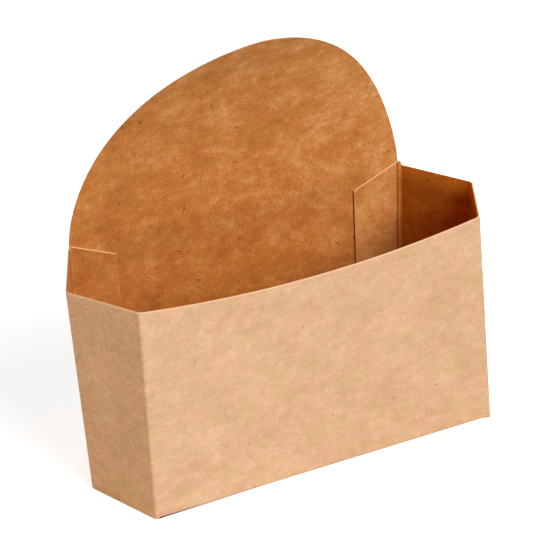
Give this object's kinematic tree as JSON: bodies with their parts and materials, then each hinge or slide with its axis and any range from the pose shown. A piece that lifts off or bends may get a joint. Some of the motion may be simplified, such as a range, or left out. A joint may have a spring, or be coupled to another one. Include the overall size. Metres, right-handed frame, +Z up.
{
  "type": "pie sleeve",
  "caption": "Open-topped pocket of folded kraft card with a dipped front, creased gusset ends and a tall arched back that curls forward, for holding a round pie in the hand.",
  "frame": {"origin": "centre of the foot, on the surface that the sleeve stands on", "axes": "+X to the right along the front, +Y from the front to the tall back, +Z up"},
  "size_m": [0.1556, 0.06, 0.1458],
  "materials": {
    "kraft_card": "matt"
  },
  "bodies": {
    "root": {"sleeve": "kraft_card"}
  },
  "joints": []
}
